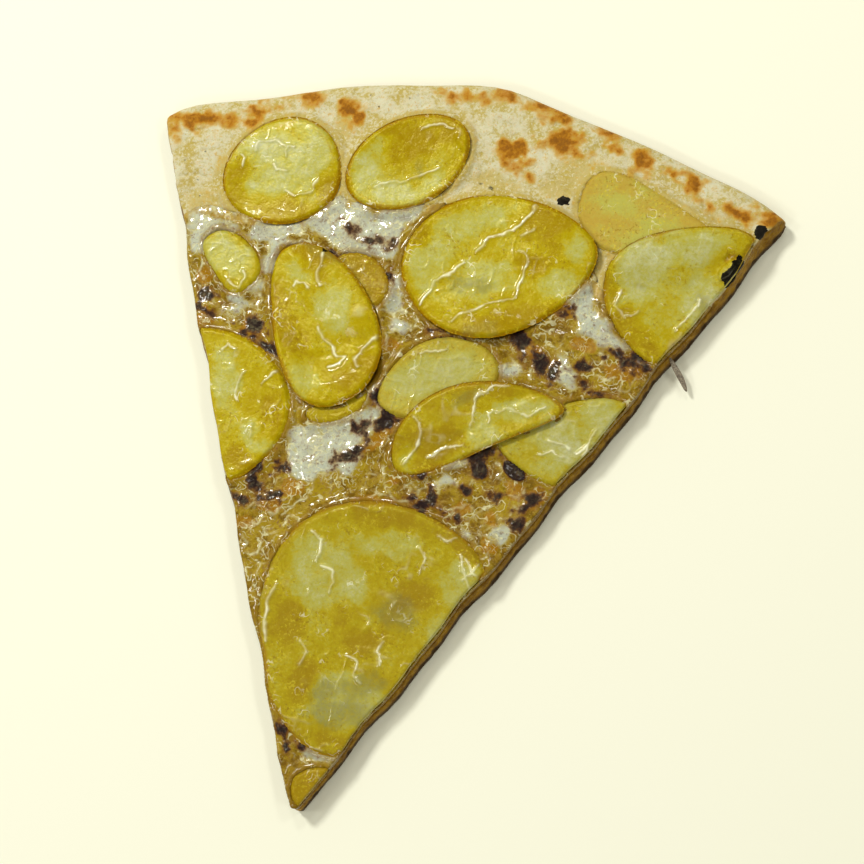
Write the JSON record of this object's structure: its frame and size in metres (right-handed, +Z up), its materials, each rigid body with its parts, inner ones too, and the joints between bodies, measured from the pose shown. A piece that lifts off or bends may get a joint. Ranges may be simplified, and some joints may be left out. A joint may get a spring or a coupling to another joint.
{
  "type": "potato pizza slice",
  "caption": "Flat triangular pizza slice with a low pale crust, melted cheese and thin cooked potato slices that overlap.",
  "frame": {"origin": "below the middle of the bounding box, on the surface that the slice lies on", "axes": "+Z up, through the slice's thickness; +Y from the tip to the crust, along the line that halves the slice"},
  "size_m": [0.199, 0.229, 0.013],
  "materials": {
    "dough": "floury baked dough, pale with toasted patches",
    "cheese": "melted cheese with a film of oil",
    "potato": "oily cooked potato",
    "herb": "dry herb needle"
  },
  "bodies": {
    "root": {"dough": "dough", "cheese": "cheese", "potato_rim_left": "potato", "potato_rim_middle": "potato", "potato_under_right": "potato", "potato_pale_left": "potato", "potato_under_centre": "potato", "potato_left_edge": "potato", "potato_pale_middle": "potato", "potato_right_edge": "potato", "potato_sliver": "potato", "potato_near_tip": "potato", "potato_tip_bit": "potato", "potato_centre_left": "potato", "potato_half_moon": "potato", "potato_large_oval": "potato", "potato_right_oval": "potato", "herb_needle": "herb"}
  },
  "joints": []
}
